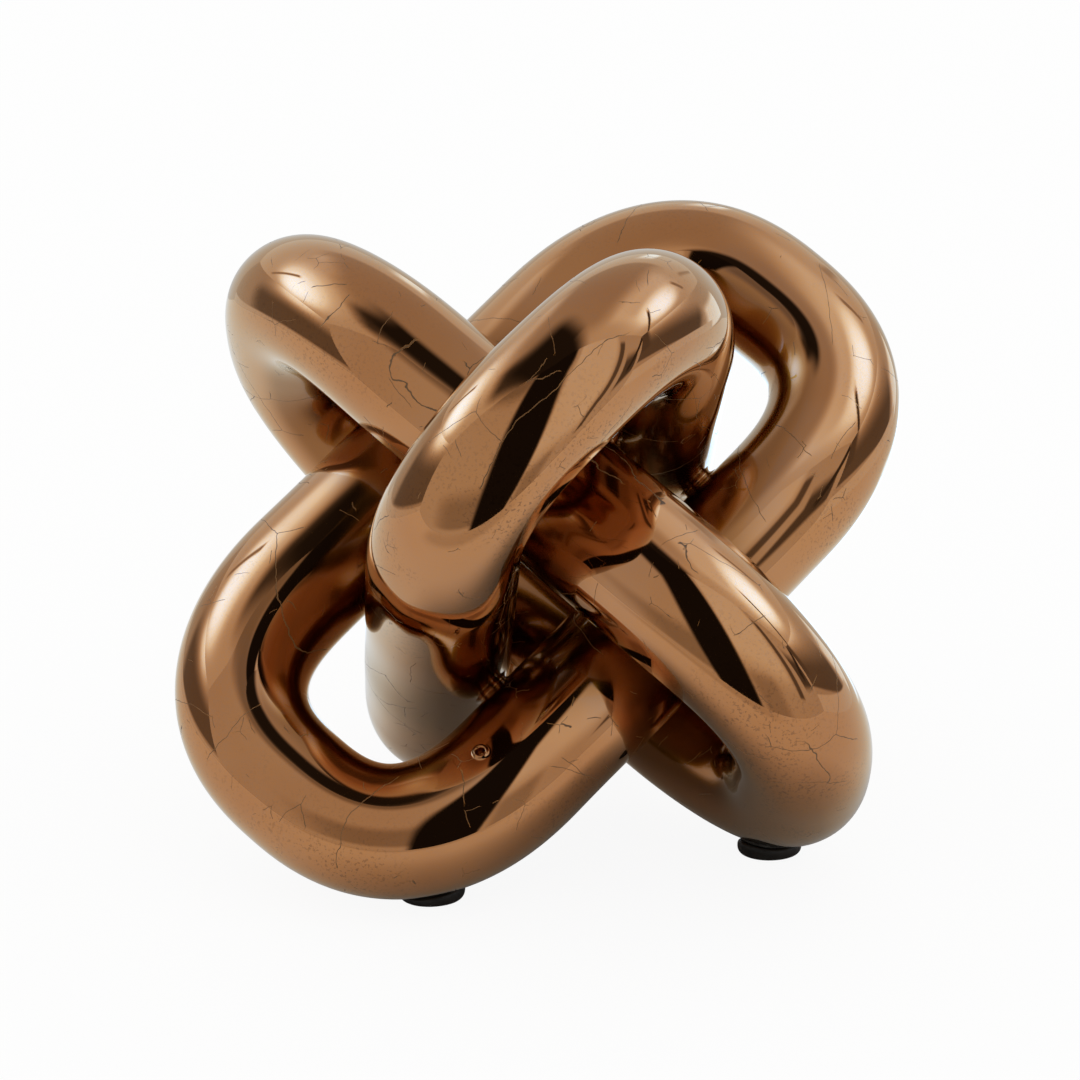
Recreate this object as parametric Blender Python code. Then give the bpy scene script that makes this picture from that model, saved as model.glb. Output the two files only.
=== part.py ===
# Knotted chain sculpture in ceramic: three hollow oval links. Each passes through one neighbour and round
# the other, so no two of them are linked, yet the three can't come apart. Slip joins them where their
# strands cross, and the knot stands on three tips, each with a black stick-on pad.
#
# Metres, Z up. The front faces -Y. The origin is the middle of the knot's box, on the surface it stands on.
# The knot has its own axes: X is the long way of the face link, Y of the cross link and Z of the upright link.

import math

import bmesh
import bpy
import numpy as np
from mathutils import Matrix, Vector
from mathutils.geometry import intersect_line_line

# Tubes: outside radius halfway along a strand, and what is left of it at the tips
FACE_TUBE_RADIUS = 0.0146
CROSS_TUBE_RADIUS = 0.0151
UPRIGHT_TUBE_RADIUS = 0.0150
TIP_SHARE = 0.927
WALL = 0.0042

# Ovals, on the line through the middle of the tube: from the middle of the link to its tip, how much of
# that the rounded end takes, and how square the end is (2 is an ellipse)
FACE_REACH = 0.0734
CROSS_REACH = 0.0715
UPRIGHT_REACH = 0.0728
END_DEPTH = 0.0361
END_SQUARENESS = 2.5

# How the hand-set upright link lies off the middle of the knot: how much of the room between its end and
# the cross link it has slid through, and its lean
UPRIGHT_SLIDE_SHARE = -0.69
UPRIGHT_LEAN = math.radians(3.3)

# Slip between crossing strands, and in the two butt joints that close the upright link round the others
SLIP_THICKNESS = 0.0009
SLIP_RADIUS = 0.0052
SLIP_WAIST = 0.0010
BUTT_THICKNESS = 0.0012

# Vents that let the hollow links breathe in the kiln
VENT_RADIUS = 0.0010
VENT_FROM_MIDDLE = 0.0464
VENT_LEAN = math.radians(17)

# Stick-on pads: the half-inch size, and how far each lies off the lowest point, along the tube and aside,
# with the tilt of one that isn't pressed down all over
PAD_RADIUS = 0.00635
PAD_DROP = 0.0022
PAD_SQUASH = 0.0003
PAD_CHAMFER = 0.0004
FACE_PAD_ALONG = 0.0082
FACE_PAD_ASIDE = 0.0038
FACE_PAD_TILT = math.radians(2.5)
CROSS_PAD_ALONG = 0.0040
TAPE_RADIUS = 0.0059
TAPE_THICKNESS = 0.0005

# What neighbours keep clear of each other, and the heading of the face link's long way from +X
SEAT_GAP = 0.0003
FACE_HEADING = math.radians(35.1)

# Facets: round the tube, along a strand, along a rounded end
TUBE_SIDES = 22
BORE_SIDES = 14
STRAND_STEPS = 5
END_STEPS = 23
BORE_END_STEPS = 15
SMALL_SIDES = 24

# Samples along each strand when the crossings are looked for
CROSSING_STEPS = 401

GLAZE_COLOUR = (0.55, 0.33, 0.20)
SLIP_COLOUR = (0.42, 0.24, 0.14)
PAD_COLOUR = (0.012, 0.011, 0.010)
TAPE_COLOUR = (0.05, 0.05, 0.05)


# A link: its long and short ways as axes of the knot, the size of its oval and tube, and its place
class Link:
    def __init__(self, name, long_axis, short_axis, reach, tube_radius, inner_radius, slide=0.0, lean=0.0):
        self.name = name
        self.reach = reach
        self.tube_radius = tube_radius
        # The link that passes through this one holds its strands apart
        self.half_width = tube_radius + SLIP_THICKNESS + inner_radius
        self.straight = reach - END_DEPTH
        long_way, short_way = Vector(long_axis), Vector(short_axis)
        turn = Matrix((long_way, short_way, long_way.cross(short_way))).transposed().to_4x4()
        slid = Matrix.Translation(long_way * slide)
        leaned = Matrix.Rotation(lean, 4, short_way)
        self.place = leaned @ slid @ turn


FACE = Link("face_link", (1, 0, 0), (0, 1, 0), FACE_REACH, FACE_TUBE_RADIUS, UPRIGHT_TUBE_RADIUS)
CROSS = Link("cross_link", (0, 1, 0), (0, 0, 1), CROSS_REACH, CROSS_TUBE_RADIUS, FACE_TUBE_RADIUS)
UPRIGHT_ROOM = UPRIGHT_REACH - TIP_SHARE * UPRIGHT_TUBE_RADIUS - CROSS.half_width - CROSS.tube_radius
UPRIGHT = Link("upright_link", (0, 0, 1), (1, 0, 0), UPRIGHT_REACH, UPRIGHT_TUBE_RADIUS,
               CROSS_TUBE_RADIUS, UPRIGHT_SLIDE_SHARE * UPRIGHT_ROOM, UPRIGHT_LEAN)
LINKS = (FACE, CROSS, UPRIGHT)

# Which link goes round which
CROSSINGS = ((FACE, UPRIGHT), (CROSS, FACE), (UPRIGHT, CROSS))


# Points of the oval at q: 0 to 1 runs up one strand, 1 to 2 round the far end, 2 to 3 back down the other
# strand and 3 to 4 round the near end. Returns points, unit tangents and tube radii.
def oval(link, q):
    q = np.mod(q, 4.0)
    power = 2.0 / END_SQUARENESS
    angle = np.linspace(math.pi / 2, -math.pi / 2, 1201)
    end_x = link.straight + END_DEPTH * np.abs(np.cos(angle)) ** power
    end_y = link.half_width * np.sign(np.sin(angle)) * np.abs(np.sin(angle)) ** power
    run = np.concatenate(([0.0], np.cumsum(np.hypot(np.diff(end_x), np.diff(end_y)))))
    half = np.where(q < 2.0, q, q - 2.0)
    flip = np.where(q < 2.0, 1.0, -1.0)
    on_end = np.clip(half - 1.0, 0.0, 1.0) * run[-1]
    x = np.where(half < 1.0, link.straight * (2.0 * half - 1.0), np.interp(on_end, run, end_x))
    y = np.where(half < 1.0, link.half_width, np.interp(on_end, run, end_y))
    slope_x = np.interp(on_end, run, np.gradient(end_x, run))
    slope_y = np.interp(on_end, run, np.gradient(end_y, run))
    slope_x = np.where(half < 1.0, 1.0, slope_x)
    slope_y = np.where(half < 1.0, 0.0, slope_y)
    length = np.hypot(slope_x, slope_y)
    into_end = np.clip((np.abs(x) - link.straight) / END_DEPTH, 0.0, 1.0)
    taper = into_end * into_end * (3.0 - 2.0 * into_end)
    radius = link.tube_radius * (1.0 - (1.0 - TIP_SHARE) * taper)
    points = np.stack((x * flip, y * flip, np.zeros_like(x)), axis=1)
    tangents = np.stack((slope_x / length * flip, slope_y / length * flip, np.zeros_like(x)), axis=1)
    return points, tangents, radius


# Values of q for a whole link, closed
def whole_loop(end_steps):
    strand = np.linspace(0.0, 1.0, STRAND_STEPS, endpoint=False)
    end = np.linspace(1.0, 2.0, end_steps, endpoint=False)
    return np.concatenate((strand, end, strand + 2.0, end + 2.0))


# Values of q for half a link, cut across both strands, a distance short of the middle or past it
def half_loop(link, far_half, short_of_middle, end_steps):
    start = 0.5 + short_of_middle / (2.0 * link.straight)
    up = np.linspace(start, 1.0, STRAND_STEPS // 2 + 1, endpoint=False)
    end = np.linspace(1.0, 2.0, end_steps, endpoint=False)
    down = np.linspace(2.0, 3.0 - start, STRAND_STEPS // 2 + 1)
    q = np.concatenate((up, end, down))
    return q if far_half else q + 2.0


def mesh_from(bm, name):
    bmesh.ops.recalc_face_normals(bm, faces=bm.faces)
    mesh = bpy.data.meshes.new(name)
    bm.to_mesh(mesh)
    bm.free()
    mesh.shade_smooth()
    mesh.set_sharp_from_angle(angle=math.radians(40))
    return mesh


# A tube round the oval: rings square to it, joined to the next ring, closed round or capped at both ends
def tube_mesh(name, link, q, grow, sides, closed):
    points, tangents, radius = oval(link, q)
    across = np.stack((tangents[:, 1], -tangents[:, 0], np.zeros(len(q))), axis=1)
    upright = np.array((0.0, 0.0, 1.0))
    bm = bmesh.new()
    rings = []
    for centre, side, r in zip(points, across, radius + grow):
        ring = []
        for step in range(sides):
            angle = 2.0 * math.pi * (step + 0.5) / sides
            ring.append(bm.verts.new(centre + r * (math.cos(angle) * side + math.sin(angle) * upright)))
        rings.append(ring)
    pairs = list(zip(rings, rings[1:]))
    if closed:
        pairs.append((rings[-1], rings[0]))
    else:
        bm.faces.new(rings[0])
        bm.faces.new(rings[-1])
    for one, other in pairs:
        for k in range(sides):
            bm.faces.new((one[k], one[(k + 1) % sides], other[(k + 1) % sides], other[k]))
    return mesh_from(bm, name)


# A turned piece on local Z from (radius, height) pairs, closed top and bottom
def turned_mesh(name, profile, sides):
    bm = bmesh.new()
    rings = []
    for radius, height in profile:
        ring = []
        for step in range(sides):
            angle = 2.0 * math.pi * step / sides
            ring.append(bm.verts.new((radius * math.cos(angle), radius * math.sin(angle), height)))
        rings.append(ring)
    bm.faces.new(rings[0])
    bm.faces.new(rings[-1])
    for one, other in zip(rings, rings[1:]):
        for k in range(sides):
            bm.faces.new((one[k], one[(k + 1) % sides], other[(k + 1) % sides], other[k]))
    return mesh_from(bm, name)


def finish(name, colour, roughness, metallic):
    material = bpy.data.materials.new(name)
    material.use_nodes = True
    shader = material.node_tree.nodes["Principled BSDF"]
    shader.inputs["Base Color"].default_value = (*colour, 1.0)
    shader.inputs["Roughness"].default_value = roughness
    shader.inputs["Metallic"].default_value = metallic
    material.diffuse_color = (*colour, 1.0)
    return material


def add_object(name, mesh, parent, place, material=None):
    piece = bpy.data.objects.new(name, mesh)
    bpy.context.scene.collection.objects.link(piece)
    piece.parent = parent
    piece.matrix_basis = place
    if material:
        mesh.materials.append(material)
    return piece


def add_cutter(name, mesh, parent, place):
    cutter = add_object(name, mesh, parent, place)
    cutter.display_type = "WIRE"
    cutter.hide_render = True
    return cutter


def boolean(piece, cutter, operation="DIFFERENCE"):
    modifier = piece.modifiers.new(cutter.name, "BOOLEAN")
    modifier.operation = operation
    modifier.solver = "EXACT"
    modifier.object = cutter


# A frame at a point whose local Z looks along a direction
def facing(point, direction):
    return Matrix.Translation(point) @ direction.to_track_quat("Z", "Y").to_matrix().to_4x4()


# The middle of the tube and its tangent and radius at one q, on the knot's axes
def on_knot(link, q):
    points, tangents, radius = oval(link, np.array([q]))
    point = link.place @ Vector(points[0])
    tangent = (link.place.to_3x3() @ Vector(tangents[0])).normalized()
    return point, tangent, float(radius[0])


# The q of a link's lowest point for a given up
def lowest(link, up):
    q = np.linspace(0.0, 4.0, 4000, endpoint=False)
    points, tangents, radius = oval(link, q)
    turned = points @ np.array(link.place.to_3x3()).T + np.array(link.place.translation)
    return float(q[np.argmin(turned @ np.array(up) - radius)])


# The up on which the three low tips are level, from the even stance on
def level_up():
    up = Vector((1, -1, -1)).normalized()
    for _ in range(12):
        feet = []
        for link in LINKS:
            point, tangent, radius = on_knot(link, lowest(link, up))
            feet.append(point - radius * up)
        normal = (feet[1] - feet[0]).cross(feet[2] - feet[0]).normalized()
        up = normal if normal.dot(up) > 0 else -normal
    return up, feet[0].dot(up)


# The knot's empty turns its axes to the level stance and the front to -Y, with the pads' undersides at 0
def add_stance(up, low):
    ahead = Vector((1, 0, 0))
    ahead = (ahead - ahead.dot(up) * up).normalized()
    left = up.cross(ahead)
    x_way = math.cos(FACE_HEADING) * ahead - math.sin(FACE_HEADING) * left
    turn = Matrix((x_way, up.cross(x_way), up)).to_4x4()
    corners = []
    for link in LINKS:
        points, tangents, radius = oval(link, whole_loop(END_STEPS))
        spots = points @ np.array((turn @ link.place).to_3x3()).T
        spots += np.array((turn @ link.place).translation)
        corners += [spots - radius[:, None], spots + radius[:, None]]
    corners = np.concatenate(corners)
    middle = (corners.min(axis=0) + corners.max(axis=0)) / 2.0
    stance = bpy.data.objects.new("knot", None)
    bpy.context.scene.collection.objects.link(stance)
    stance.matrix_basis = Matrix.Translation((-middle[0], -middle[1], PAD_DROP - low)) @ turn
    return stance


def add_vent(link, parent, piece, along, side, face):
    middle = Vector((along, side * link.half_width, 0))
    way = Vector((0, -side * math.sin(VENT_LEAN), face * math.cos(VENT_LEAN)))
    depth = link.tube_radius * 0.5
    height = link.tube_radius
    profile = ((VENT_RADIUS, depth), (VENT_RADIUS, depth + height))
    mesh = turned_mesh(link.name + "_vent_cutter", profile, SMALL_SIDES // 2)
    cutter = add_cutter(mesh.name, mesh, parent, link.place @ facing(middle, way))
    boolean(piece, cutter)


# A slip-cast link in one piece: the tube less its bore, which only the vent opens
def add_whole_link(link, stance, material, vent):
    mesh = tube_mesh(link.name, link, whole_loop(END_STEPS), 0.0, TUBE_SIDES, True)
    piece = add_object(link.name, mesh, stance, link.place, material)
    bore = tube_mesh(link.name + "_bore_cutter", link, whole_loop(BORE_END_STEPS), -WALL, BORE_SIDES, True)
    boolean(piece, add_cutter(bore.name, bore, stance, link.place))
    add_vent(link, stance, piece, *vent)


# The upright link can't be threaded whole, so it is two hollow halves that meet at butt joints
def add_half_link(link, name, far_half, stance, material, vent=None):
    cut = BUTT_THICKNESS / 2.0
    mesh = tube_mesh(name, link, half_loop(link, far_half, cut, END_STEPS), 0.0, TUBE_SIDES, False)
    piece = add_object(name, mesh, stance, link.place, material)
    past_cut = cut - WALL
    bore = tube_mesh(name + "_bore_cutter", link, half_loop(link, far_half, past_cut, BORE_END_STEPS),
                     -WALL, BORE_SIDES, False)
    boolean(piece, add_cutter(bore.name, bore, stance, link.place))
    if vent:
        add_vent(link, stance, piece, *vent)


# Slip squeezed between the cut ends of the two halves: a flat ring as wide as the wall
def add_butt_joint(link, name, side, stance, material):
    half = BUTT_THICKNESS / 2.0 - SEAT_GAP
    outer, inner = link.tube_radius, link.tube_radius - WALL
    place = link.place @ facing(Vector((0, side * link.half_width, 0)), Vector((1, 0, 0)))
    mesh = turned_mesh(name, ((outer, -half), (outer, half)), TUBE_SIDES)
    piece = add_object(name, mesh, stance, place, material)
    hole = turned_mesh(name + "_hole_cutter", ((inner, -2 * half), (inner, 2 * half)), BORE_SIDES)
    boolean(piece, add_cutter(hole.name, hole, stance, place))


# Where two strands come closest: a point on each middle line and both tube radii, on the knot's axes. The
# search takes in the bends, because the crossings of a shorter link reach into them.
def nearest(outer, outer_side, inner, inner_side):
    strands = []
    for link, side in ((outer, outer_side), (inner, inner_side)):
        q = np.linspace(-0.5, 1.5, CROSSING_STEPS) + (0.0 if side > 0 else 2.0)
        points, tangents, radius = oval(link, q)
        turn = np.array(link.place.to_3x3())
        strands.append((points @ turn.T + np.array(link.place.translation), tangents @ turn.T, radius))
    a, b = strands
    apart = np.linalg.norm(a[0][:, None] - b[0][None], axis=2) - a[2][:, None] - b[2][None]
    i, k = np.unravel_index(np.argmin(apart), apart.shape)
    ends = [Vector(point) for point in (a[0][i], a[0][i] + a[1][i], b[0][k], b[0][k] + b[1][k])]
    on_outer, on_inner = intersect_line_line(*ends)
    return on_outer, on_inner, float(a[2][i]), float(b[2][k])


# Slip where two strands cross: a short waisted plug on the line between them, cut to both tubes
def add_slip_joints(outer, inner, seats, stance, material):
    number = 0
    for outer_side in (1, -1):
        for inner_side in (1, -1):
            number += 1
            name = "%s_to_%s_slip_%d" % (outer.name.split("_")[0], inner.name.split("_")[0], number)
            a, b, a_radius, b_radius = nearest(outer, outer_side, inner, inner_side)
            way = (b - a).normalized()
            spread = (b - a).length - a_radius - b_radius
            centre = a + way * (a_radius + spread / 2.0)
            flare = SLIP_RADIUS ** 2 / a_radius
            high = spread / 2.0 + flare
            waist = SLIP_RADIUS - SLIP_WAIST
            profile = ((SLIP_RADIUS, -high), (waist, -high * 0.3), (waist, high * 0.3), (SLIP_RADIUS, high))
            mesh = turned_mesh(name, profile, SMALL_SIDES)
            piece = add_object(name, mesh, stance, facing(centre, way), material)
            boolean(piece, seats[outer])
            boolean(piece, seats[inner])


# A pad and its tape under a low tip: discs on a line that runs down from the tube, cut to its underside.
# What of the pad would lie below the surface is pressed flat.
def add_pad(link, up, surface, along, aside, tilt, cutters, stance, pad_material, tape_material):
    seat, tape_face, pad_face, ground = cutters
    q = lowest(link, up)
    step = 0.002
    here, tangent, radius = on_knot(link, q)
    further, tangent, radius = on_knot(link, q + step)
    point, tangent, radius = on_knot(link, q + along * step / (further - here).length)
    ahead = (tangent - tangent.dot(up) * up).normalized()
    point += up.cross(ahead) * aside
    down = ahead * math.sin(tilt) - up * math.cos(tilt)
    place = facing(point, down)
    bottom = (point.dot(up) - surface) / math.cos(tilt) + PAD_SQUASH
    short = link.name.split("_")[0]
    start = radius * 0.5
    profile = ((PAD_RADIUS, start), (PAD_RADIUS, bottom - PAD_CHAMFER), (PAD_RADIUS - PAD_CHAMFER, bottom))
    pad = add_object(short + "_pad", turned_mesh(short + "_pad", profile, SMALL_SIDES), stance, place,
                     pad_material)
    boolean(pad, pad_face)
    boolean(pad, ground)
    tape_mesh = turned_mesh(short + "_pad_tape", ((TAPE_RADIUS, start), (TAPE_RADIUS, bottom)), SMALL_SIDES)
    tape = add_object(short + "_pad_tape", tape_mesh, stance, place, tape_material)
    boolean(tape, tape_face, "INTERSECT")
    boolean(tape, seat)


def build():
    for old in list(bpy.data.objects):
        bpy.data.objects.remove(old, do_unlink=True)
    glaze = finish("lustre_glaze", GLAZE_COLOUR, 0.12, 1.0)
    slip = finish("glazed_slip", SLIP_COLOUR, 0.2, 1.0)
    rubber = finish("black_pad", PAD_COLOUR, 0.6, 0.0)
    tape = finish("pad_tape", TAPE_COLOUR, 0.8, 0.0)
    up, low = level_up()
    stance = add_stance(up, low)

    add_whole_link(FACE, stance, glaze, (-VENT_FROM_MIDDLE, 1, -1))
    add_whole_link(CROSS, stance, glaze, (-VENT_FROM_MIDDLE, 1, 1))
    add_half_link(UPRIGHT, "upright_link_low_half", True, stance, glaze, (VENT_FROM_MIDDLE, 1, -1))
    add_half_link(UPRIGHT, "upright_link_high_half", False, stance, glaze)
    add_butt_joint(UPRIGHT, "upright_link_right_joint", 1, stance, slip)
    add_butt_joint(UPRIGHT, "upright_link_left_joint", -1, stance, slip)

    seats = {}
    tape_faces = {}
    pad_faces = {}
    shells = (("seat", seats, SEAT_GAP), ("tape", tape_faces, SEAT_GAP + TAPE_THICKNESS),
              ("pad", pad_faces, 2 * SEAT_GAP + TAPE_THICKNESS))
    for link in LINKS:
        for label, group, grow in shells:
            mesh = tube_mesh("%s_%s_cutter" % (link.name, label), link, whole_loop(END_STEPS), grow,
                             TUBE_SIDES, True)
            group[link] = add_cutter(mesh.name, mesh, stance, link.place)
    for outer, inner in CROSSINGS:
        add_slip_joints(outer, inner, seats, stance, slip)

    bm = bmesh.new()
    width, depth = 4.0 * FACE_REACH, 4.0 * PAD_RADIUS
    bmesh.ops.create_cube(bm, size=1.0, matrix=Matrix.Diagonal((width, width, depth, 1.0)))
    ground = add_cutter("surface_cutter", mesh_from(bm, "surface_cutter"), None,
                        Matrix.Translation((0.0, 0.0, -depth / 2.0)))
    pads = ((FACE, FACE_PAD_ALONG, FACE_PAD_ASIDE, FACE_PAD_TILT), (CROSS, CROSS_PAD_ALONG, 0.0, 0.0),
            (UPRIGHT, 0.0, 0.0, 0.0))
    for link, along, aside, tilt in pads:
        cutters = (seats[link], tape_faces[link], pad_faces[link], ground)
        add_pad(link, up, low - PAD_DROP, along, aside, tilt, cutters, stance, rubber, tape)


build()
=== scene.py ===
import math

import bpy
import numpy as np
from mathutils import Matrix, Vector


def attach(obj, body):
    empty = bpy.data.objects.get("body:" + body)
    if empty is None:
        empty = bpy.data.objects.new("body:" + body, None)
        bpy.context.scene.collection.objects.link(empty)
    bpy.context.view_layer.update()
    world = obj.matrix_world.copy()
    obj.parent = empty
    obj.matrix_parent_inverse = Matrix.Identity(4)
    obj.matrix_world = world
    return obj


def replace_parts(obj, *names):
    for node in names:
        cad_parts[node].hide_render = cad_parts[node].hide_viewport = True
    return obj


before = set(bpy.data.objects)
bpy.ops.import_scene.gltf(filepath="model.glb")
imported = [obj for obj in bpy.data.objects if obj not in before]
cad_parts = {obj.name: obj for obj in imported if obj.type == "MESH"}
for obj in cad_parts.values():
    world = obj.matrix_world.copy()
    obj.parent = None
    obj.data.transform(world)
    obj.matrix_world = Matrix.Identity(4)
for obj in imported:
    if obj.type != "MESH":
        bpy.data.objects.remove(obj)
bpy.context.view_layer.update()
scene = bpy.context.scene
root = "root"

# The knot's own axes, as columns, and its middle. X is the long way of the face link, Y of the cross
# link and Z of the upright link.
knotTurn = np.array(((0.680181, 0.733034, 0.003891),
                     (0.478039, -0.447583, 0.755744),
                     (0.555727, -0.512182, -0.654856)))
knotMiddle = np.array((0.0, 0.007104, 0.063745))

# Metres: how far the middle line reaches, the tube's radius and that of the tube it holds, and how far the
# link has slid and leaned. A vent lies so far along the strand on one side, on one face of the link.
links = {
    "face": {"long": 0, "short": 1, "reach": 0.0734, "tube": 0.0146, "inner": 0.0150,
             "slide": 0.0, "lean": 0.0, "vent": (-0.0464, 1, -1)},
    "cross": {"long": 1, "short": 2, "reach": 0.0715, "tube": 0.0151, "inner": 0.0146,
              "slide": 0.0, "lean": 0.0, "vent": (-0.0464, 1, 1)},
    "upright": {"long": 2, "short": 0, "reach": 0.0728, "tube": 0.0150, "inner": 0.0151,
                "slide": -0.0091, "lean": math.radians(3.3), "vent": (0.0464, 1, -1)},
}
oval = {"endDepth": 0.0361, "squareness": 2.5, "tipShare": 0.927, "slip": 0.0009, "endSteps": 2401}
# Points that a whole link's line is measured at
fineSteps = 8001


def turnAbout(axis, angle):
    return np.array(Matrix.Rotation(angle, 3, Vector(axis)))


# Turn and shift that take a link's own plane (long way, short way, their cross product) into the world
def linkPlace(link):
    longWay, shortWay = np.eye(3)[link["long"]], np.eye(3)[link["short"]]
    lean = turnAbout(shortWay, link["lean"])
    turn = lean @ np.stack((longWay, shortWay, np.cross(longWay, shortWay)), axis=1)
    shift = lean @ (longWay * link["slide"])
    return knotTurn @ turn, knotMiddle + knotTurn @ shift


def halfWidth(link):
    return link["tube"] + oval["slip"] + link["inner"]


# Middle line of a link at q: 0-1 one strand, 1-2 far end, 2-3 other strand, 3-4 near end. The ends are
# superellipse halves at even arc length, and the tube thins by a smoothstep towards the tips.
def middleLine(link, q):
    straight = link["reach"] - oval["endDepth"]
    power = 2.0 / oval["squareness"]
    angle = np.linspace(math.pi / 2, -math.pi / 2, oval["endSteps"])
    endX = straight + oval["endDepth"] * np.abs(np.cos(angle)) ** power
    endY = halfWidth(link) * np.sign(np.sin(angle)) * np.abs(np.sin(angle)) ** power
    run = np.concatenate(([0.0], np.cumsum(np.hypot(np.diff(endX), np.diff(endY)))))
    q = np.mod(q, 4.0)
    half, flip = np.where(q < 2, q, q - 2), np.where(q < 2, 1.0, -1.0)
    onEnd = np.clip(half - 1, 0, 1) * run[-1]
    x = np.where(half < 1, straight * (2 * half - 1), np.interp(onEnd, run, endX))
    y = np.where(half < 1, halfWidth(link), np.interp(onEnd, run, endY))
    slopeX = np.where(half < 1, 1.0, np.interp(onEnd, run, np.gradient(endX, run)))
    slopeY = np.where(half < 1, 0.0, np.interp(onEnd, run, np.gradient(endY, run)))
    into = np.clip((np.abs(x) - straight) / oval["endDepth"], 0, 1)
    radius = link["tube"] * (1 - (1 - oval["tipShare"]) * into * into * (3 - 2 * into))
    size = np.hypot(slopeX, slopeY)
    points = np.stack((x * flip, y * flip, np.zeros_like(x)), axis=1)
    tangents = np.stack((slopeX / size * flip, slopeY / size * flip, np.zeros_like(x)), axis=1)
    return points, tangents, radius


# Length along a row of points up to each
def lengthSoFar(points):
    return np.concatenate(([0.0], np.cumsum(np.linalg.norm(np.diff(points, axis=0), axis=1))))


# The same line in the world
def worldLine(link, q):
    points, tangents, radius = middleLine(link, q)
    turn, shift = linkPlace(link)
    return points @ turn.T + shift, tangents @ turn.T, radius


# Points along each link's tube, blocks that the surface is done in, and the least square of a distance
shelterRods = {"points": 161, "blocks": 16, "nearest": 1e-6}


# How deep a place lies among the strands: the share of the sky over it that the tubes take up, each as a row
# of short rods, from 0 on an open bend to 1 in the heart of the knot. The glaze's painted shade follows it.
def shelterOf(points, normals):
    rods, weights = [], []
    for link in links.values():
        q = np.linspace(0, 4, shelterRods["points"])
        line, _, radius = worldLine(link, q)
        rods.append((line[1:] + line[:-1]) / 2)
        weights.append(np.linalg.norm(np.diff(line, axis=0), axis=1) * 2 * radius[1:] / math.pi)
    rods, weights = np.concatenate(rods), np.concatenate(weights)
    total = np.zeros(len(points))
    for block in np.array_split(np.arange(len(points)), shelterRods["blocks"]):
        here, facing = points[block], normals[block]
        apart = (here ** 2).sum(1)[:, None] + (rods ** 2).sum(1)[None] - 2 * here @ rods.T
        front = facing @ rods.T - (facing * here).sum(1)[:, None]
        total[block] = (np.clip(front, 0, None) / np.maximum(apart, shelterRods["nearest"]) ** 1.5) @ weights
    return np.clip(total, 0, 1)


def newPiece(name, points, faces, material, slot=None, layers=None):
    mesh = bpy.data.meshes.new(name)
    mesh.from_pydata(points.tolist(), [], faces)
    mesh.update()
    mesh.shade_smooth()
    mesh.materials.append(material)
    for key, values in (layers or {}).items():
        layer = mesh.attributes.new(key, "FLOAT", "POINT")
        layer.data.foreach_set("value", np.broadcast_to(values, len(points)).astype(np.float32))
    piece = bpy.data.objects.new(name, mesh)
    scene.collection.objects.link(piece)
    if slot:
        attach(piece, root)
    return piece


# Quads of a grid of rows by columns, joined round each way that is closed
def gridFaces(rows, columns, closeRows=False, closeColumns=True):
    i = np.arange(rows if closeRows else rows - 1)[:, None]
    k = np.arange(columns if closeColumns else columns - 1)[None, :]
    a, b = i * columns + k, i * columns + (k + 1) % columns
    c, d = (i + 1) % rows * columns + (k + 1) % columns, (i + 1) % rows * columns + k
    return np.stack((a, b, c, d), axis=-1).reshape(-1, 4).tolist()


# A closed body from rings (rows, columns, 3): quads between them, and a fan to a pole at each end
def closedBody(rings):
    rows, columns = rings.shape[:2]
    poles = np.stack((rings[0].mean(axis=0), rings[-1].mean(axis=0)))
    k = np.arange(columns)
    low = np.stack((np.full(columns, rows * columns), (k + 1) % columns, k), axis=1)
    last = (rows - 1) * columns
    high = np.stack((np.full(columns, rows * columns + 1), last + k, last + (k + 1) % columns), axis=1)
    points = np.concatenate((rings.reshape(-1, 3), poles))
    return points, gridFaces(rows, columns) + low.tolist() + high.tolist()


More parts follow.
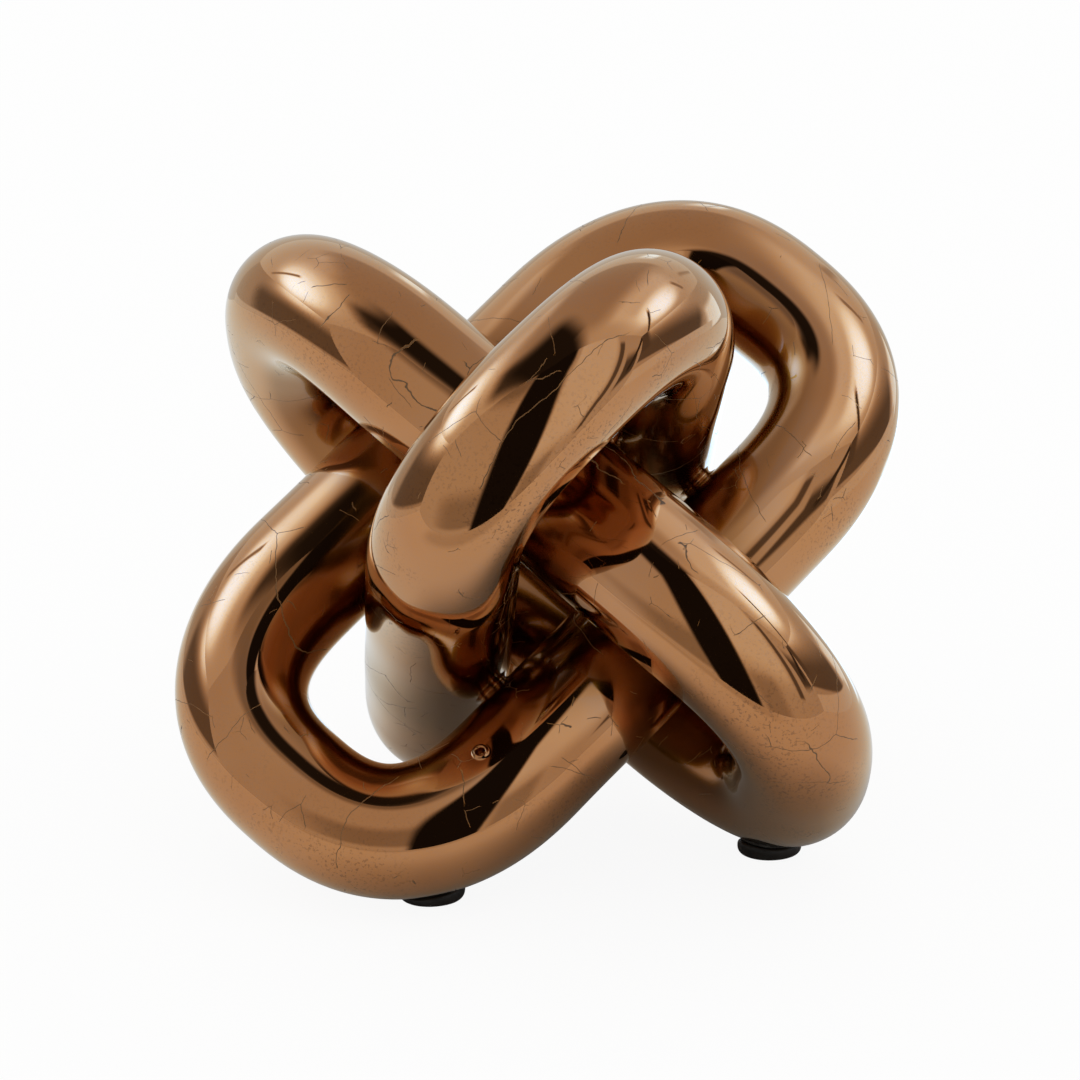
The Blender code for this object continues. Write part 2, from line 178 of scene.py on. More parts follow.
# Small helpers that lay out one material's nodes. A hairline is solid over a share of its width.
class nodeBench:
    solidShare = 0.35

    def __init__(self, name):
        self.material = bpy.data.materials.new(name)
        self.material.use_nodes = True
        self.tree = self.material.node_tree
        self.shader = self.tree.nodes["Principled BSDF"]
        self.place = self.add("ShaderNodeTexCoord").outputs["Object"]

    def add(self, kind, **settings):
        node = self.tree.nodes.new(kind)
        for key, value in settings.items():
            setattr(node, key, value)
        return node

    def link(self, source, socket):
        self.tree.links.new(source, socket)

    def into(self, source, name):
        self.link(source, self.shader.inputs[name])

    def set(self, **values):
        for key, value in values.items():
            self.shader.inputs[key.replace("_", " ")].default_value = value

    def noiseNode(self, scale, detail, roughness=0.5):
        node = self.add("ShaderNodeTexNoise")
        self.link(self.place, node.inputs["Vector"])
        for key, value in (("Scale", scale), ("Detail", detail), ("Roughness", roughness)):
            node.inputs[key].default_value = value
        return node

    def noise(self, scale, detail=2.0, roughness=0.5):
        return self.noiseNode(scale, detail, roughness).outputs["Fac"]

    def attribute(self, name):
        return self.add("ShaderNodeAttribute", attribute_name=name).outputs["Fac"]

    def ramp(self, source, low, high, toLow=0.0, toHigh=1.0):
        node = self.add("ShaderNodeMapRange", interpolation_type="SMOOTHSTEP")
        self.link(source, node.inputs["Value"])
        for key, value in (("From Min", low), ("From Max", high), ("To Min", toLow), ("To Max", toHigh)):
            node.inputs[key].default_value = value
        return node.outputs["Result"]

    # A noise, given as its settings, brought into a range, given as a ramp's limits
    def blotches(self, settings, limits):
        return self.ramp(self.noise(*settings), *limits)

    def math(self, operation, a, b):
        node = self.add("ShaderNodeMath", operation=operation)
        for socket, value in zip(node.inputs, (a, b)):
            if isinstance(value, float):
                socket.default_value = value
            else:
                self.link(value, socket)
        return node.outputs[0]

    def mix(self, factor, a, b):
        node = self.add("ShaderNodeMix", data_type="RGBA")
        self.link(factor, node.inputs["Factor"])
        for socket, value in ((node.inputs[6], a), (node.inputs[7], b)):
            if isinstance(value, tuple):
                socket.default_value = (*value, 1.0)
            else:
                self.link(value, socket)
        return node.outputs[2]

    # A place pushed about by noise, so that what reads it wanders
    def wander(self, scale, amount, place=None):
        push = self.add("ShaderNodeVectorMath", operation="MULTIPLY_ADD")
        self.link(self.noiseNode(scale, 2.0).outputs["Color"], push.inputs[0])
        push.inputs[1].default_value = (amount, amount, amount)
        self.link(place or self.place, push.inputs[2])
        return push.outputs["Vector"]

    # Round specks, one to a cell, as 1 in the middle
    def dots(self, scale, core, edge):
        cells = self.add("ShaderNodeTexVoronoi")
        self.link(self.place, cells.inputs["Vector"])
        cells.inputs["Scale"].default_value = scale
        return self.ramp(cells.outputs["Distance"], core, edge, 1.0, 0.0)

    # Hairlines: the edges of Voronoi cells, as 1 on the line
    def hairlines(self, scale, width, place):
        cells = self.add("ShaderNodeTexVoronoi", feature="DISTANCE_TO_EDGE")
        self.link(place, cells.inputs["Vector"])
        cells.inputs["Scale"].default_value = scale
        return self.ramp(cells.outputs["Distance"], width * self.solidShare, width, 1.0, 0.0)

    def bump(self, height, distance, strength=1.0, before=None):
        node = self.add("ShaderNodeBump")
        node.inputs["Distance"].default_value = distance
        if isinstance(strength, float):
            node.inputs["Strength"].default_value = strength
        else:
            self.link(strength, node.inputs["Strength"])
        self.link(height, node.inputs["Height"])
        if before:
            self.link(before, node.inputs["Normal"])
        return node.outputs["Normal"]


# Colours of the glaze, then what sorts them and shapes it. A noise is given as scale, detail and roughness,
# with the range that it is brought into: low, high, and the shares at these. Dots have a scale, a core and an
# edge. A hairline has a scale and width, and the scale and level of the noise that lets it show. The darker
# bronze laid on by shelter, and the shelter range that brings it in, are painted shade among the strands.
glazeLook = {
    "metal": (0.55, 0.230, 0.062), "pooled": (0.50, 0.195, 0.047), "paintedShade": (0.30, 0.104, 0.009),
    "crazed": (0.105, 0.050, 0.020), "fleck": (0.27, 0.105, 0.028), "dust": (0.42, 0.32, 0.22),
    "pooling": ((26.0, 3.0), (0.35, 0.65)), "paintedShadeAt": (0.28, 0.68), "deepAt": (0.06, 0.30),
    "wandering": (30.0, 0.010), "raggedness": (300.0, 0.0013), "hairlineEnd": 0.02,
    "hairlines": ((21.0, 0.0021, 33.0, 0.515), (47.0, 0.0044, 60.0, 0.555), (118.0, 0.0080, 150.0, 0.620)),
    "clusters": ((38.0, 5.0, 0.65), (0.40, 0.60)), "underShare": (0.0, 1.0, 0.22, 1.0),
    "flecks": ((1500.0, 2.0, 0.6), (0.545, 0.64, 0.0, 0.90)), "pits": (900.0, 0.06, 0.15),
    "specks": (700.0, 0.020, 0.045), "speckClusters": ((22.0, 4.0, 0.6), (0.50, 0.66, 0.0, 0.30)),
    "polish": ((40.0, 5.0, 0.6), (0.3, 0.7, 0.020, 0.048)), "fumed": (0.42, 0.75, 0.0, 0.20),
    "flawRoughness": 0.55, "boilRoughness": 0.14, "coatOnFlaws": (0.0, 1.0, 1.0, 0.35),
    "surface": {"Coat_IOR": 1.5, "Coat_Roughness": 0.015, "Specular_IOR_Level": 0.3,
                "Specular_Tint": (0.96, 0.93, 0.65, 1.0)},
    "reliefAtDepth": (0.0, 1.0, 1.0, 0.04), "flawRelief": (0.00002, 0.35),
    "relief": (((130.0, 1.0, 0.4), 0.0000055), ((520.0, 2.0, 0.5), 0.0000017),
               ((2300.0, 1.0, 0.5), 0.0000007)),
}


# Bronze lustre: a metal film under a clear glaze, with painted shade among the strands, where the colour
# goes to a darker bronze as the tubes take up more of the sky. It is crossed by short ragged hairlines of
# three sizes, flecked with darker metal where the glaze boiled, mostly on the undersides, and has a few pale
# specks of dust. Hairlines and dust are dull, so they show pale on a dark reflection and dark on a bright
# one. Its relief is sag, peel and grain, almost none among the strands.
def makeGlaze():
    look, n = glazeLook, nodeBench("lustreGlaze")
    shelter, under = n.attribute("shelter"), n.attribute("under")
    colour = n.mix(n.blotches(*look["pooling"]), look["metal"], look["pooled"])
    # Painted shade: the glaze turns to a darker bronze where the tubes take up much of the sky
    colour = n.mix(n.ramp(shelter, *look["paintedShadeAt"]), colour, look["paintedShade"])

    ragged = n.wander(*look["raggedness"], n.wander(*look["wandering"]))
    crack = None
    for scale, width, patch, level in look["hairlines"]:
        shown = n.ramp(n.noise(patch, 1.0), level, level + look["hairlineEnd"])
        line = n.math("MULTIPLY", n.hairlines(scale, width, ragged), shown)
        crack = n.math("MAXIMUM", crack, line) if crack else line

    deep = n.ramp(shelter, *look["deepAt"])
    clusters = n.math("MULTIPLY", n.blotches(*look["clusters"]), n.ramp(under, *look["underShare"]))
    clusters = n.math("MULTIPLY", clusters, n.math("SUBTRACT", 1.0, deep))
    fleck = n.math("MULTIPLY", n.blotches(*look["flecks"]), clusters)
    boil = n.math("MAXIMUM", fleck, n.math("MULTIPLY", n.dots(*look["pits"]), clusters))
    dust = n.math("MULTIPLY", n.dots(*look["specks"]), n.blotches(*look["speckClusters"]))
    for share, paint in ((boil, "fleck"), (crack, "crazed"), (dust, "dust")):
        colour = n.mix(share, colour, look[paint])
    n.into(colour, "Base Color")

    flaw = n.math("MAXIMUM", crack, dust)
    unflawed = n.math("SUBTRACT", 1.0, flaw)
    n.into(unflawed, "Metallic")
    rough = n.math("MAXIMUM", n.math("MULTIPLY", flaw, look["flawRoughness"]),
                   n.math("MULTIPLY", boil, look["boilRoughness"]))
    rough = n.math("MAXIMUM", rough, n.ramp(shelter, *look["fumed"]))
    n.into(n.math("MAXIMUM", n.blotches(*look["polish"]), rough), "Roughness")
    n.into(n.ramp(flaw, *look["coatOnFlaws"]), "Coat Weight")
    n.set(**look["surface"])

    strength, normal = n.ramp(deep, *look["reliefAtDepth"]), None
    for settings, distance in look["relief"]:
        normal = n.bump(n.noise(*settings), distance, strength, normal)
    n.into(n.bump(unflawed, *look["flawRelief"], normal), "Normal")
    return n.material


rubberLook = {
    "colours": ((0.0080, 0.0068, 0.0052), (0.0140, 0.0120, 0.0095)), "mottle": ((500.0, 3.0), (0.3, 0.7)),
    "lint": (0.10, 0.09, 0.075), "lintSpecks": (1500.0, 0.05, 0.12),
    "lintClusters": ((180.0,), (0.5, 0.6, 0.0, 0.5)),
    "satin": ((900.0,), (0.3, 0.7, 0.34, 0.52)), "surface": {"Specular_IOR_Level": 0.32},
    "relief": ((420.0, 0.00005), (2600.0, 0.00002)),
}


# Moulded rubber: near black, satin, with a fine cast grain and a little lint
def makeRubber():
    look, n = rubberLook, nodeBench("padRubber")
    lint = n.math("MULTIPLY", n.dots(*look["lintSpecks"]), n.blotches(*look["lintClusters"]))
    n.into(n.mix(lint, n.mix(n.blotches(*look["mottle"]), *look["colours"]), look["lint"]), "Base Color")
    n.into(n.blotches(*look["satin"]), "Roughness")
    n.set(**look["surface"])
    normal = None
    for scale, distance in look["relief"]:
        normal = n.bump(n.noise(scale), distance, before=normal)
    n.into(normal, "Normal")
    return n.material


tapeLook = {
    "colours": ((0.020, 0.018, 0.015), (0.040, 0.036, 0.031)), "mottle": ((700.0,), (0.35, 0.65)),
    "pore": (0.008, 0.007, 0.006), "pores": (2600.0, 0.12, 0.3), "poreDepth": 0.00005,
    "surface": {"Roughness": 0.75, "Specular_IOR_Level": 0.3},
}


# Foam tape: dark, matt, with open pores at its edge
def makeTape():
    look, n = tapeLook, nodeBench("padTape")
    pores = n.dots(*look["pores"])
    n.into(n.mix(pores, n.mix(n.blotches(*look["mottle"]), *look["colours"]), look["pore"]), "Base Color")
    n.set(**look["surface"])
    n.into(n.bump(pores, look["poreDepth"]), "Normal")
    return n.material


glaze = makeGlaze()
rubber = makeRubber()
tape = makeTape()
print("materials made")

# Rings along a link and sides round it. Then the waves of its surface, each with a number of swells along the
# link and round the tube drawn from a range, and the lower the more it has along. "underSoft" is how soon a
# face that turns down counts as underside.
surface = {"rings": 690, "sides": 126, "wave": 0.00010, "waves": 9, "swellsAlong": (2, 13),
           "swellsAround": (0, 4), "falloff": 0.25, "underSoft": 0.6}
vent = {"lean": math.radians(17), "hole": 0.00080, "edge": 0.00022, "depth": 0.0015,
        "lip": 0.00040, "lipRadius": 0.00128, "lipWidth": 0.00036,
        "crowdWidth": 0.0029, "crowdAlong": 4.0, "crowdAround": 7.0, "crowdSteps": 20001}


def ease(x, edge, soft):
    w = np.clip(0.5 + (x - edge) / (2 * soft), 0, 1)
    return w * w * (3 - 2 * w)


def wrapped(x, total):
    return np.mod(x + total / 2, total) - total / 2


# Places along a closed length, crowded round one of them by a bell of density
def crowded(total, middle, gain, count):
    x = np.linspace(0, total, vent["crowdSteps"])
    density = 1 + gain * np.exp(-(wrapped(x - middle, total) / vent["crowdWidth"]) ** 2)
    share = np.concatenate(([0.0], np.cumsum((density[1:] + density[:-1]) / 2)))
    return np.interp(np.linspace(0, 1, count, endpoint=False), share / share[-1], x)


# Hand-finished unevenness of a tube's radius: a few slow waves that close along the oval and round it
def unevenness(q, angle, seed):
    rng = np.random.default_rng(seed)
    total = np.zeros((len(q), len(angle)))
    for _ in range(surface["waves"]):
        along, around = rng.integers(*surface["swellsAlong"]), rng.integers(*surface["swellsAround"])
        phase = rng.uniform(0, 2 * math.pi, 2)
        swell = np.cos(q * math.pi / 2 * along + phase[0]) / (1 + surface["falloff"] * along)
        total += swell[:, None] * np.cos(angle * around + phase[1])[None, :]
    return total


# A link is a circle carried round its middle line, sunk to a small hole with a raised lip at its vent, and
# with its UV map unrolled in metres
def makeLink(name, key, seed, nodes):
    link = links[key]
    fineQ = np.linspace(0, 4, fineSteps)
    points, tangents, _ = middleLine(link, fineQ)
    run = lengthSoFar(points)
    girth = 2 * math.pi * link["tube"]
    alongStrand, strand, face = link["vent"]
    spot = np.array((alongStrand, strand * halfWidth(link), 0))
    at = int(np.argmin(np.linalg.norm(points - spot, axis=1)))
    ventAngle = math.atan2(face * math.cos(vent["lean"]), -strand * math.sin(vent["lean"]) * -tangents[at, 0])
    ventAround = ventAngle / (2 * math.pi) * girth

    along = crowded(run[-1], run[at], vent["crowdAlong"], surface["rings"])
    around = crowded(girth, ventAround % girth, vent["crowdAround"], surface["sides"])
    q, angle = np.interp(along, run, fineQ), around / link["tube"]
    points, tangents, radius = middleLine(link, q)
    side = np.stack((tangents[:, 1], -tangents[:, 0], np.zeros(len(q))), axis=1)
    off = np.hypot(wrapped(along - run[at], run[-1])[:, None], wrapped(around - ventAround, girth)[None, :])
    lift = (vent["lip"] * np.exp(-((off - vent["lipRadius"]) / vent["lipWidth"]) ** 2)
            - vent["depth"] * ease(-off, -vent["hole"], vent["edge"]))
    reach = radius[:, None] + surface["wave"] * unevenness(q, angle, seed) + lift
    outward = (np.cos(angle)[None, :, None] * side[:, None]
               + np.sin(angle)[None, :, None] * np.array((0, 0, 1.0)))
    turn, shift = linkPlace(link)
    shell = (points[:, None] + reach[..., None] * outward).reshape(-1, 3) @ turn.T + shift
    facing = outward.reshape(-1, 3) @ turn.T
    # The vent's hole counts as fully sheltered, so the glaze paints it in shade
    shelter = np.maximum(shelterOf(shell, facing), ease(-off, -vent["hole"], vent["edge"]).ravel())
    layers = {"shelter": shelter, "under": ease(-facing[:, 2], 0.0, surface["underSoft"])}
    faces = gridFaces(len(q), len(angle), closeRows=True)
    piece = newPiece(name, shell, faces, glaze, "lustre_glaze", layers)

    rows, columns = np.divmod(np.arange(len(q) * len(angle)), len(angle))
    u, v = np.append(along, along[0] + run[-1]), np.append(around, around[0] + girth)
    corners = np.stack([np.stack((u[rows + i], v[columns + k]), axis=1)
                        for i, k in ((0, 0), (0, 1), (1, 1), (1, 0))], axis=1)
    unrolled = piece.data.uv_layers.new(name="unrolled")
    unrolled.data.foreach_set("uv", corners.astype(np.float32).ravel())
    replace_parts(piece, *nodes)


makeLink("faceLink", "face", 3, ["face_link"])
makeLink("crossLink", "cross", 5, ["cross_link"])
makeLink("uprightLink", "upright", 8, ["upright_link_low_half", "upright_link_high_half",
                                       "upright_link_right_joint", "upright_link_left_joint"])
print("links made")

# The necks count as fully sheltered, so the glaze paints them all in shade
slipLook = {"radius": 0.0050, "waist": 0.0036, "sides": 40, "rows": 15, "sunk": 0.00015,
            "strandSteps": 401, "layers": {"shelter": 1.0, "under": 0.0}}


# A concave neck between two strands: rings round the line between them, narrow at the waist, whose ends
# follow each tube's own roundness and sink a little into it
def makeSlip(name, node, outerKey, innerKey, outerSide, innerSide):
    q = np.linspace(-0.5, 1.5, slipLook["strandSteps"])
    outer = worldLine(links[outerKey], q if outerSide > 0 else q + 2)
    inner = worldLine(links[innerKey], q if innerSide > 0 else q + 2)
    gap = np.linalg.norm(outer[0][:, None] - inner[0][None], axis=2)
    i, k = np.unravel_index(np.argmin(gap), gap.shape)
    a, b = outer[0][i], inner[0][k]
    way = (b - a) / np.linalg.norm(b - a)
    outerRadius, innerRadius = outer[2][i], inner[2][k]
    spread = np.linalg.norm(b - a) - outerRadius - innerRadius
    middle = a + way * (outerRadius + spread / 2)
    across = outer[1][i] - way * (outer[1][i] @ way)
    across /= np.linalg.norm(across)
    angle = np.linspace(0, 2 * math.pi, slipLook["sides"], endpoint=False)
    out = np.cos(angle)[:, None] * across + np.sin(angle)[:, None] * np.cross(way, across)
    t = np.linspace(-1, 1, slipLook["rows"])
    radius = slipLook["waist"] + (slipLook["radius"] - slipLook["waist"]) * t ** 2
    offOuter = np.linalg.norm(np.cross(out, outer[1][i]), axis=1)[None, :] * radius[:, None]
    offInner = np.linalg.norm(np.cross(out, inner[1][k]), axis=1)[None, :] * radius[:, None]
    low = -spread / 2 - (outerRadius - np.sqrt(outerRadius ** 2 - offOuter ** 2)) - slipLook["sunk"]
    high = spread / 2 + (innerRadius - np.sqrt(innerRadius ** 2 - offInner ** 2)) + slipLook["sunk"]
    share = ((t + 1) / 2)[:, None]
    height = low * (1 - share) + high * share
    points, faces = closedBody(middle + radius[:, None, None] * out[None] + height[..., None] * way)
    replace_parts(newPiece(name, points, faces, glaze, "glazed_slip", slipLook["layers"]), node)


crossings = (("face", "upright"), ("cross", "face"), ("upright", "cross"))
sides = ((1, 1), (1, -1), (-1, 1), (-1, -1))
for outerKey, innerKey in crossings:
    for number, (outerSide, innerSide) in enumerate(sides, 1):
        node = "%s_to_%s_slip_%d" % (outerKey, innerKey, number)
        makeSlip("neck_" + node, node, outerKey, innerKey, outerSide, innerSide)
print("slips made")

# Each pad lies so far along the tube and aside from the link's lowest point, and the face link's is a little
# tilted. Its shape is the radius at the bulge, how far the rounded side draws in, how uneven its rim is, and
# what the tape's two faces and the pad keep off the tube.
padSpots = {"face": (0.0082, 0.0038, math.radians(2.5)), "cross": (0.0040, 0.0, 0.0),
            "upright": (0.0, 0.0, 0.0)}
padShape = {"radius": 0.00660, "drawnIn": 0.0011, "squareness": 2.6, "wobble": 0.00012, "squash": 0.0003,
            "tapeRadius": 0.0059, "tapeDrawnIn": 0.0001, "tapeNear": 0.00005, "tapeFar": 0.00055,
            "padNear": 0.00062, "columns": 72, "flatRings": 9, "sideRings": 17, "innermost": 0.08,
            "rim": ((2, 1.0, 0.7), (3, 0.6, 2.1)), "tubeNear": 0.03, "tubeStep": 6}


# Middle of a pad on the ground, the way that it tips up, and its link's line from end to end
def padPlace(link, along, aside):
    line, tangents, radius = worldLine(link, np.linspace(0, 4, fineSteps))
    lowest = int(np.argmin(line[:, 2] - radius))
    run = lengthSoFar(line)
    at = int(np.argmin(np.abs(run - run[lowest] - along)))
    ahead = tangents[at] * (1, 1, 0)
    ahead /= np.linalg.norm(ahead)
    return line[at] * (1, 1, 0) + np.cross((0, 0, 1.0), ahead) * aside, ahead, line, radius


# Height of the tube's underside, less a clearance, over places on the ground: the lowest of the balls that
# roll along its middle line
def underside(line, radius, middle, x, y, clearance):
    near = np.flatnonzero(np.linalg.norm((line - middle)[:, :2], axis=1) < padShape["tubeNear"])
    near = near[::padShape["tubeStep"]]
    across = (x[..., None] - line[near, 0]) ** 2 + (y[..., None] - line[near, 1]) ** 2
    drop = (radius[near] + clearance) ** 2 - across
    return np.where(drop > 0, line[near, 2] - np.sqrt(np.maximum(drop, 0)), 1.0).min(axis=-1)


# A disc between two height functions of the ground: in along the bottom, up the rounded side as half a
# superellipse, and in along the top, which follows the tube
def discBody(middle, radius, drawnIn, bottomOf, topOf, wobble):
    angle = np.linspace(0, 2 * math.pi, padShape["columns"], endpoint=False)
    way = np.stack((np.cos(angle), np.sin(angle)), axis=1)
    rim = sum(share * np.sin(swells * angle + phase) for swells, share, phase in padShape["rim"])
    uneven = 1 + wobble / radius * rim
    flat = np.linspace(padShape["innermost"], 1, padShape["flatRings"])
    arc = np.linspace(-1, 1, padShape["sideRings"])[1:-1]
    power = padShape["squareness"]
    bulge = radius - drawnIn * (1 - (1 - np.abs(arc) ** power) ** (1 / power))
    inner = radius - drawnIn
    reach = np.concatenate((inner * flat, bulge, inner * flat[::-1]))
    rise = np.concatenate((np.zeros(len(flat)), (arc + 1) / 2, np.ones(len(flat))))
    ground = middle[:2] + reach[:, None, None] * uneven[None, :, None] * way[None]
    x, y = ground[..., 0], ground[..., 1]
    low, high = bottomOf(x, y), topOf(x, y)
    return closedBody(np.stack((x, y, low + rise[:, None] * (high - low)), axis=-1))


def makePad(key):
    along, aside, tilt = padSpots[key]
    middle, ahead, line, radius = padPlace(links[key], along, aside)
    shape = padShape

    def over(clearance):
        return lambda x, y: underside(line, radius, middle, x, y, clearance)

    def ground(x, y):
        ramp = (x - middle[0]) * ahead[0] + (y - middle[1]) * ahead[1]
        return np.maximum(ramp * math.tan(tilt) - shape["squash"] / 2, 0)

    points, faces = discBody(middle, shape["radius"], shape["drawnIn"], ground, over(shape["padNear"]),
                             shape["wobble"])
    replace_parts(newPiece(key + "Bumper", points, faces, rubber, "black_pad"), key + "_pad")
    points, faces = discBody(middle, shape["tapeRadius"], shape["tapeDrawnIn"], over(shape["tapeFar"]),
                             over(shape["tapeNear"]), 0.0)
    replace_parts(newPiece(key + "Sticker", points, faces, tape, "pad_tape"), key + "_pad_tape")


for key in links:
    makePad(key)
print("pads made")

# Cloth walls round the table, seen only in the glaze. Each has a level of glow, lamps behind the cloth that
# add a round glow (middle, spread, level), and then boards and gaps laid on it in turn: middle, half size,
# turn in degrees, softness of the left, right, lower and upper edge, and the level that they bring. Places
# are world coordinates along the wall's own two ways, in metres.
walls = {
    "frontWall": {
        "corner": (-0.40, -0.150, 0.0), "wide": (0.80, 0, 0), "high": (0, 0, 0.27), "level": 0.62,
        "lamps": [],
        "patches": [
            ((0.104, 0.173), (0.055, 0.102), -3, (0.006, 0.025, 0.048, 0.020), 0.86),
            ((0.077, 0.024), (0.026, 0.037), 10, (0.017, 0.026, 0.021, 0.024), 0.41),
            ((-0.065, 0.043), (0.051, 0.030), 0, (0.082, 0.010, 0.011, 0.032), 0.36),
            ((-0.055, 0.263), (0.057, 0.038), -32, (0.030, 0.054, 0.044, 0.023), 0.29),
            ((0.181, 0.137), (0.013, 0.095), -2, (0.010, 0.008, 0.008, 0.023), 0.14),
            ((0.286, 0.124), (0.059, 0.046), 7, (0.012, 0.014, 0.025, 0.046), 0.11),
            ((0.336, 0.182), (0.098, 0.015), 50, (0.020, 0.020, 0.009, 0.009), 0.05),
            ((0.011, 0.138), (0.033, 0.162), 0, (0.008, 0.005, 0.006, 0.005), 0.012)],
    },
    "ceiling": {
        "corner": (-0.40, -0.150, 0.27), "wide": (0.80, 0, 0), "high": (0, 0.65, 0), "level": 0.75,
        "lamps": [((-0.272, 0.032), (0.064, 0.049), 4.0), ((0.241, -0.008), (0.052, 0.048), 3.2),
                  ((0.152, -0.032), (0.045, 0.035), 1.1)],
        "patches": [
            ((0.116, -0.007), (0.043, 0.089), 6, (0.033, 0.065, 0.035, 0.065), 0.98),
            ((0.000, 0.090), (0.100, 0.045), 0, (0.040, 0.040, 0.020, 0.030), 1.02),
            ((-0.004, 0.036), (0.087, 0.136), -11, (0.058, 0.060, 0.060, 0.030), 0.50),
            ((0.080, 0.368), (0.020, 0.105), -9, (0.029, 0.015, 0.085, 0.025), 1.25),
            ((0.231, 0.303), (0.011, 0.119), -19, (0.014, 0.020, 0.047, 0.038), 0.50),
            ((0.296, -0.085), (0.116, 0.005), -16, (0.050, 0.008, 0.004, 0.004), 0.05),
            ((0.226, 0.120), (0.056, 0.007), 33, (0.031, 0.027, 0.006, 0.005), 0.40),
            ((-0.271, 0.127), (0.103, 0.007), -44, (0.039, 0.017, 0.008, 0.007), 0.42),
            ((-0.067, -0.108), (0.045, 0.070), 63, (0.060, 0.037, 0.012, 0.050), 0.080),
            ((-0.011, -0.133), (0.042, 0.101), 37, (0.031, 0.027, 0.004, 0.060), 0.020)],
    },
    "leftWall": {
        "corner": (-0.40, -0.150, 0.0), "wide": (0, 0.65, 0), "high": (0, 0, 0.27), "level": 0.50,
        "lamps": [((0.006, 0.346), (0.073, 0.064), 3.5)],
        "patches": [
            ((-0.001, 0.115), (0.216, 0.080), 0, (0.073, 0.094, 0.012, 0.090), 0.18),
            ((0.105, -0.012), (0.640, 0.040), 2, (0.028, 0.017, 0.022, 0.006), 0.70)],
    },
    "rightWall": {
        "corner": (0.40, -0.150, 0.0), "wide": (0, 0.65, 0), "high": (0, 0, 0.27), "level": 0.58,
        "lamps": [((0.001, 0.379), (0.121, 0.059), 3.5)],
        "patches": [
            ((0.401, 0.082), (0.146, 0.069), 5, (0.058, 0.030, 0.012, 0.048), 1.15),
            ((-0.020, 0.142), (0.228, 0.065), -11, (0.088, 0.052, 0.012, 0.110), 0.16),
            ((-0.135, 0.220), (0.024, 0.069), 3, (0.020, 0.020, 0.030, 0.030), 0.13),
            ((0.046, 0.014), (0.264, 0.045), -3, (0.088, 0.032, 0.021, 0.005), 0.80)],
    },
    "backWall": {
        "corner": (-0.40, 0.50, 0.0), "wide": (0.80, 0, 0), "high": (0, 0, 0.27), "level": 0.60,
        "lamps": [], "patches": [],
    },
}

# The table's glow, laid out in the same way, where the last patch is the shade under the object. Then its
# paint, and its shares of white to the camera and of glow to gloss.
table = {
    "corner": (-1.5, -1.5, 0.0), "wide": (3.0, 0, 0), "high": (0, 3.0, 0), "level": 0.70, "lamps": [],
    "patches": [
        ((0.058, 0.238), (0.122, 0.092), 7, (0.035, 0.043, 0.031, 0.028), 1.60),
        ((-0.042, -0.139), (0.105, 0.015), -2, (0.063, 0.055, 0.013, 0.009), 0.40),
        ((0.018, -0.010), (0.064, 0.048), 0, (0.045, 0.045, 0.045, 0.040), 0.05)],
    "paint": (0.86, 0.86, 0.85, 1.0), "cameraShare": 0.92, "glossShare": 0.55,
}
# The share of the softness given above that every edge takes, and how far apart a sheet's points are
stageLook = {"edgeSoftness": 0.55, "wallSpacing": 0.0025, "tableSpacing": 0.01}


# Glow at a surface's own two coordinates: lamps as bells, then patches between four eased edges
def glowAt(spec, u, v):
    glow = np.full(u.shape, spec["level"])
    for (middleU, middleV), (spreadU, spreadV), level in spec["lamps"]:
        glow += level * np.exp(-((u - middleU) / spreadU) ** 2 / 2 - ((v - middleV) / spreadV) ** 2 / 2)
    for (middleU, middleV), (halfX, halfY), turn, soft, level in spec["patches"]:
        c, s = math.cos(math.radians(turn)), math.sin(math.radians(turn))
        x = (u - middleU) * c + (v - middleV) * s
        y = (v - middleV) * c - (u - middleU) * s
        left, right, low, high = (edge * stageLook["edgeSoftness"] for edge in soft)
        across = ease(x, -halfX, left) * ease(-x, -halfX, right)
        share = across * ease(y, -halfY, low) * ease(-y, -halfY, high)
        glow = glow * (1 - share) + level * share
    return glow


# Light through the cloth is warm where little comes, and whitens where much does, as its red stops rising.
# The red, and the green and blue as shares of it, are read at a level from these lists.
tint = {
    "level": (0.0, 0.5, 0.75, 1.0, 1.4, 2.2, 3.2, 4.8),
    "red": (0.0, 0.5, 0.75, 1.0, 1.34, 1.60, 1.74, 1.86),
    "green": (0.92, 0.96, 1.06, 1.20, 1.42, 1.64, 1.78, 1.88),
    "blue": (0.88, 0.94, 1.12, 1.44, 1.98, 2.8, 3.4, 3.8),
}


# A flat sheet of evenly spaced points with its glow kept as a colour at each
def stageSheet(name, spec, material, spacing):
    corner, wide, high = (np.array(spec[key]) for key in ("corner", "wide", "high"))
    rows, columns = (int(np.abs(way).max() / spacing) + 1 for way in (wide, high))
    s, t = np.meshgrid(np.linspace(0, 1, rows), np.linspace(0, 1, columns), indexing="ij")
    points = corner + s[..., None] * wide + t[..., None] * high
    wideAxis, highAxis = (int(np.argmax(np.abs(way))) for way in (wide, high))
    level = glowAt(spec, points[..., wideAxis], points[..., highAxis])
    red, green, blue = (np.interp(level, tint["level"], tint[key]) for key in ("red", "green", "blue"))
    glow = np.stack((red, red * green, red * blue, np.ones_like(red)), axis=-1)
    sheet = newPiece(name, points.reshape(-1, 3), gridFaces(rows, columns, closeColumns=False), material)
    layer = sheet.data.attributes.new("glow", "FLOAT_COLOR", "POINT")
    layer.data.foreach_set("color", glow.astype(np.float32).ravel())
    return sheet


def glowNodes(name):
    material = bpy.data.materials.new(name)
    material.use_nodes = True
    nodes, tie = material.node_tree.nodes, material.node_tree.links.new
    nodes.clear()
    glow = nodes.new("ShaderNodeAttribute")
    glow.attribute_name = "glow"
    light, out = nodes.new("ShaderNodeEmission"), nodes.new("ShaderNodeOutputMaterial")
    tie(glow.outputs["Color"], light.inputs["Color"])
    tie(light.outputs["Emission"], out.inputs["Surface"])
    material.cycles.emission_sampling = "NONE"
    return material, nodes, tie, light, out


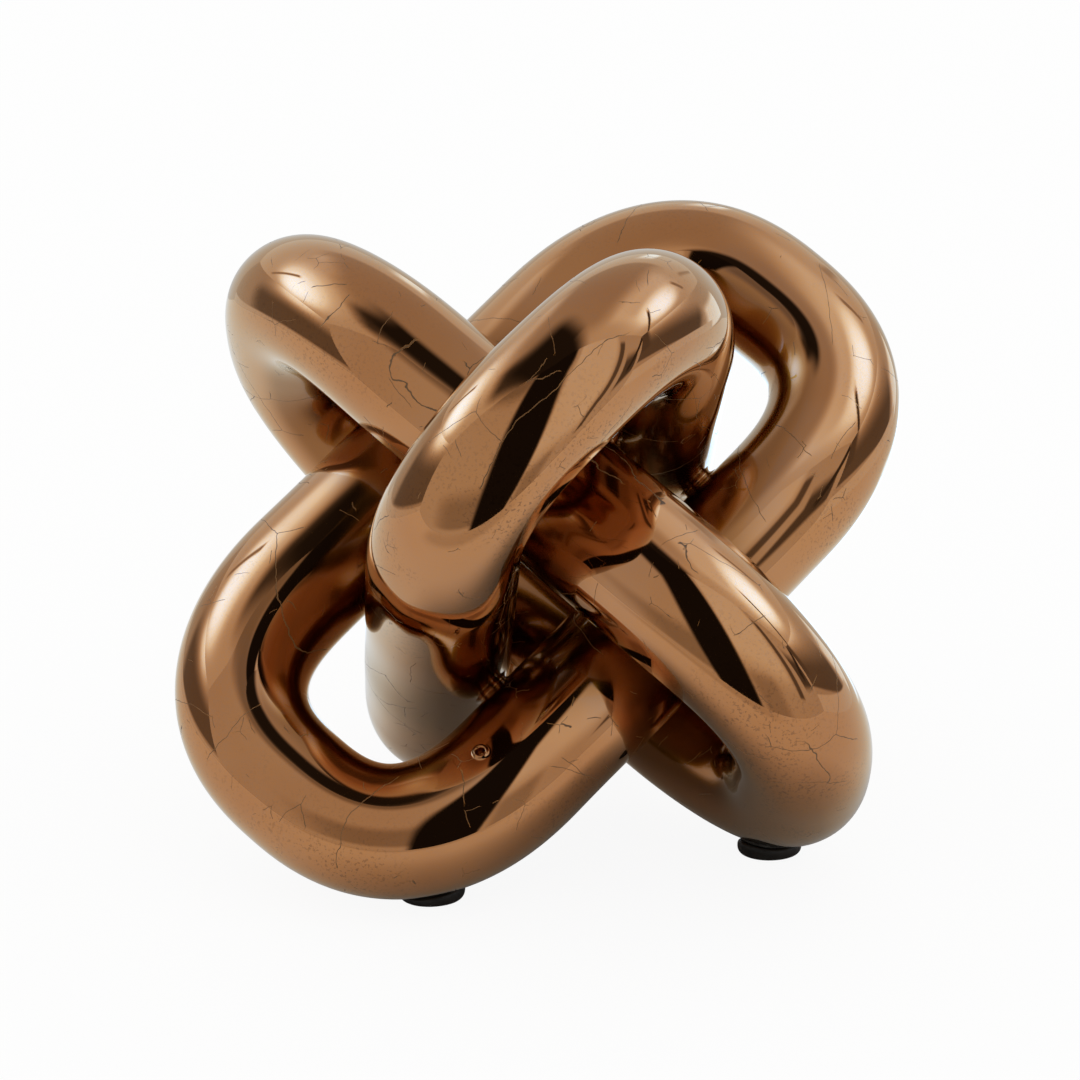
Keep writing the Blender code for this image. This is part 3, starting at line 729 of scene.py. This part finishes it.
cloth = glowNodes("tentCloth")[0]
for name, wall in walls.items():
    sheet = stageSheet(name, wall, cloth, stageLook["wallSpacing"])
    sheet.visible_camera = sheet.visible_diffuse = sheet.visible_shadow = sheet.visible_volume_scatter = False


# Pale paint that keeps the object's shadow. To the camera it is white for its share, and to gloss and glass
# it glows for its share as the cloth does.
def makeTable():
    material, nodes, tie, light, out = glowNodes("tableTop")
    path, matte = nodes.new("ShaderNodeLightPath"), nodes.new("ShaderNodeBsdfDiffuse")
    matte.inputs["Color"].default_value = table["paint"]
    white, seen = nodes.new("ShaderNodeEmission"), nodes.new("ShaderNodeMixShader")
    tie(path.outputs["Is Camera Ray"], seen.inputs[0])
    tie(light.outputs["Emission"], seen.inputs[1])
    tie(white.outputs["Emission"], seen.inputs[2])

    mirrored, glossy = nodes.new("ShaderNodeMath"), nodes.new("ShaderNodeMath")
    tie(path.outputs["Is Glossy Ray"], mirrored.inputs[0])
    tie(path.outputs["Is Transmission Ray"], mirrored.inputs[1])
    glossy.operation = "MULTIPLY"
    glossy.inputs[1].default_value = table["glossShare"]
    tie(mirrored.outputs[0], glossy.inputs[0])

    share, mix = nodes.new("ShaderNodeMath"), nodes.new("ShaderNodeMixShader")
    share.operation = "MULTIPLY_ADD"
    share.inputs[1].default_value = table["cameraShare"]
    tie(path.outputs["Is Camera Ray"], share.inputs[0])
    tie(glossy.outputs[0], share.inputs[2])
    tie(share.outputs[0], mix.inputs[0])
    tie(matte.outputs["BSDF"], mix.inputs[1])
    tie(seen.outputs["Shader"], mix.inputs[2])
    tie(mix.outputs["Shader"], out.inputs["Surface"])
    stageSheet("tableTop", table, material, stageLook["tableSpacing"])


makeTable()

world = bpy.data.worlds.new("studio")
scene.world = world
world.use_nodes = True
background = world.node_tree.nodes["Background"]
background.inputs["Color"].default_value = (1.0, 1.0, 1.0, 1.0)
background.inputs["Strength"].default_value = 1.0
print("studio made")

view = {"place": (-0.0004, -0.8296, 0.33745), "down": math.radians(18.108), "lens": 142.37, "film": 36.0}
camera = bpy.data.objects.new("camera", bpy.data.cameras.new("camera"))
scene.collection.objects.link(camera)
camera.data.sensor_fit = "HORIZONTAL"
camera.data.sensor_width = view["film"]
camera.data.lens = view["lens"]
camera.location = view["place"]
camera.rotation_euler = (math.pi / 2 - view["down"], 0, 0)
scene.camera = camera
scene.view_settings.view_transform = "Standard"
print("camera set")
